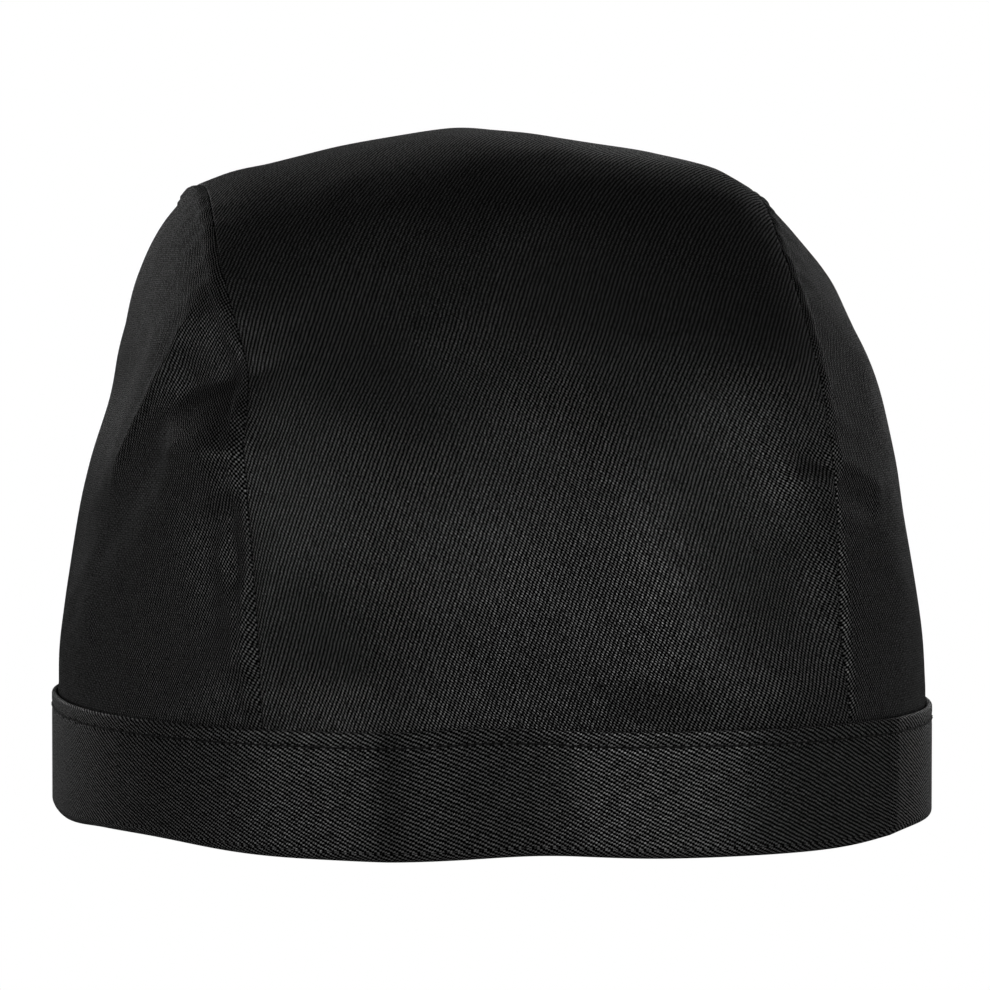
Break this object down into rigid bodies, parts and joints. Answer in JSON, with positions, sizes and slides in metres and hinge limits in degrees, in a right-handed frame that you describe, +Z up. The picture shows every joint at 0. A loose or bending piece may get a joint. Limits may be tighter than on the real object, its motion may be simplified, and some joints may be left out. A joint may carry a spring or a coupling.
{
  "type": "chef skull cap",
  "caption": "Low chef's cap of black twill: a wide centre panel over the top, a side panel sewn to each edge, and a folded headband, open underneath for the head.",
  "frame": {"origin": "middle of the cap's outline seen from above, on the surface that the headband's fold stands on", "axes": "+Z up, -Y towards the front of the cap, +X towards the right seen from the front"},
  "size_m": [0.1794, 0.1985, 0.1424],
  "materials": {
    "crown_twill": "matte black twill, steep diagonal ribs",
    "band_twill": "matte black twill, ribs lying flat along the band"
  },
  "bodies": {
    "root": {"centre_panel": "crown_twill", "side_panel_left": "crown_twill", "side_panel_right": "crown_twill", "headband": "band_twill"}
  },
  "joints": []
}
